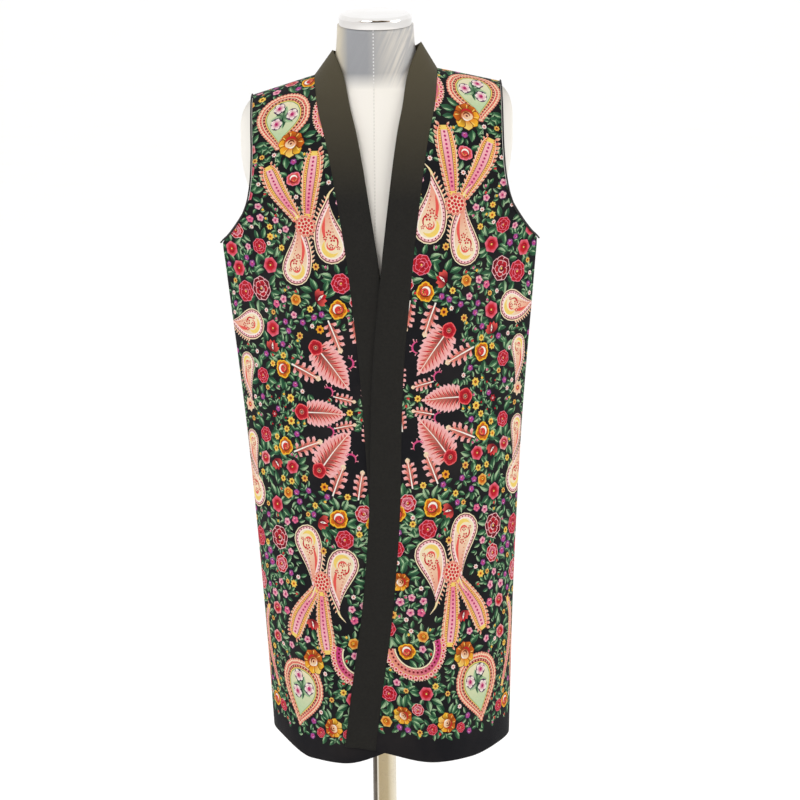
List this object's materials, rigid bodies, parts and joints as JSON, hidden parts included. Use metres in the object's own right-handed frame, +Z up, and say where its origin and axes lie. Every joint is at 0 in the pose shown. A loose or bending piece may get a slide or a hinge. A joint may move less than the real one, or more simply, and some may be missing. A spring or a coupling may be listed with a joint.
{
  "type": "reversible vest on a dress form",
  "caption": "Long open-front sleeveless vest with a plain crossed band and a floral and paisley print, worn by a limbless dress form on a round-based pole stand.",
  "frame": {"origin": "middle of the stand base's underside, on the floor", "axes": "+Z up; the vest's front faces -Y; +X is the wearer's left, which is the right side of the front view"},
  "size_m": [0.4755, 0.33, 1.4889],
  "materials": {
    "printed_cloth": "thin smooth cloth with a multicoloured floral and paisley print on near black",
    "band_cloth": "matte black woven cloth, a little warm in strong light",
    "edging_cloth": "black cloth rolled to a thin edge",
    "form_cover": "pearl white stretch cover with a soft sheen",
    "chrome": "polished",
    "steel": "bright, lightly brushed"
  },
  "bodies": {
    "root": {"front_left": "printed_cloth", "front_right": "printed_cloth", "back": "printed_cloth", "band_left": "band_cloth", "band_right": "band_cloth", "armhole_edging_left": "edging_cloth", "armhole_edging_right": "edging_cloth", "form_torso": "form_cover", "form_neck_cap": "chrome", "stand_pole": "steel", "stand_base": "steel"}
  },
  "joints": []
}
